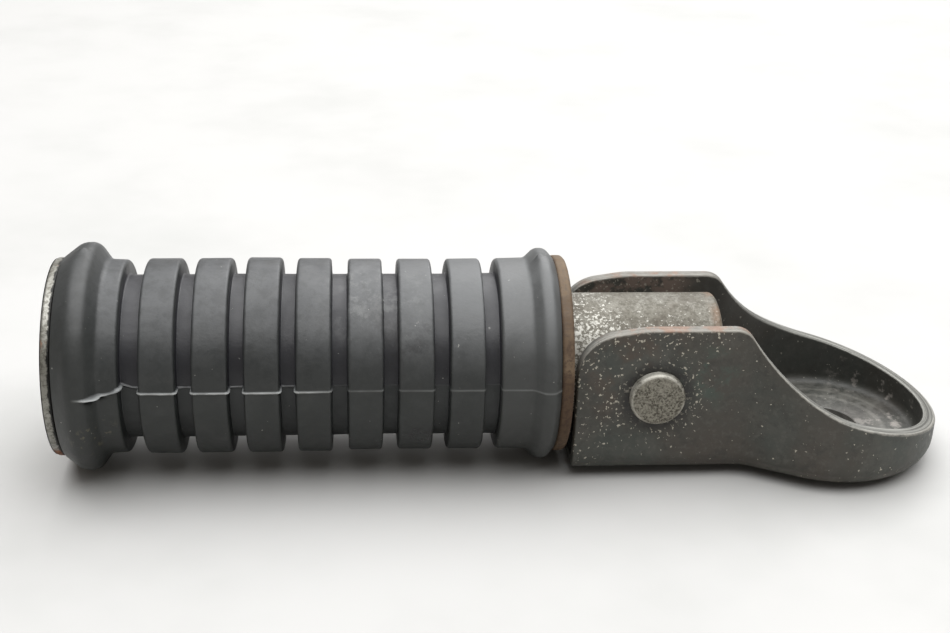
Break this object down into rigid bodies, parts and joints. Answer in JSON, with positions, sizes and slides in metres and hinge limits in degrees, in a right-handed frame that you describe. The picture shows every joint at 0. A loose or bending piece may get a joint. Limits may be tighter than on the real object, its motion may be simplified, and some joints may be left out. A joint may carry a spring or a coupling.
{
  "type": "passenger foot peg with bracket",
  "caption": "Folding passenger foot peg for a motorbike: a ribbed rubber grip on a steel tube, hinged by a headed pin in a pressed steel bracket with a round bolt cup.",
  "frame": {"origin": "centre of the bolt hole on the bracket's seat face", "axes": "+X from the peg towards the end of the cup, +Z out of the cup's open mouth, along the bolt hole, +Y to the side away from the pin's head"},
  "size_m": [0.1871, 0.048, 0.0472],
  "materials": {
    "painted_steel": "worn black paint with a faint brown and green cast, pale specks, bare and rusty edges",
    "worn_pin_steel": "mottled grey with a brighter worn rim",
    "zinc_steel": "dull zinc plating with white oxide",
    "rusty_steel": "brown surface rust",
    "grip_rubber": "aged charcoal rubber with a mould flash line and tan stains"
  },
  "bodies": {
    "bracket": {"mounting_bracket": "painted_steel", "pivot_pin": "worn_pin_steel", "pin_washer": "zinc_steel", "split_pin": "zinc_steel"},
    "peg": {"peg_tube": "zinc_steel", "end_plate": "zinc_steel", "thrust_washer": "rusty_steel", "rubber_grip": "grip_rubber"}
  },
  "joints": [
    {"name": "peg_fold", "type": "hinge", "parent": "bracket", "child": "peg", "pos_m": [-0.0407, 0, 0.0182], "axis": [0, 1, 0], "range_deg": [0, 90]}
  ]
}
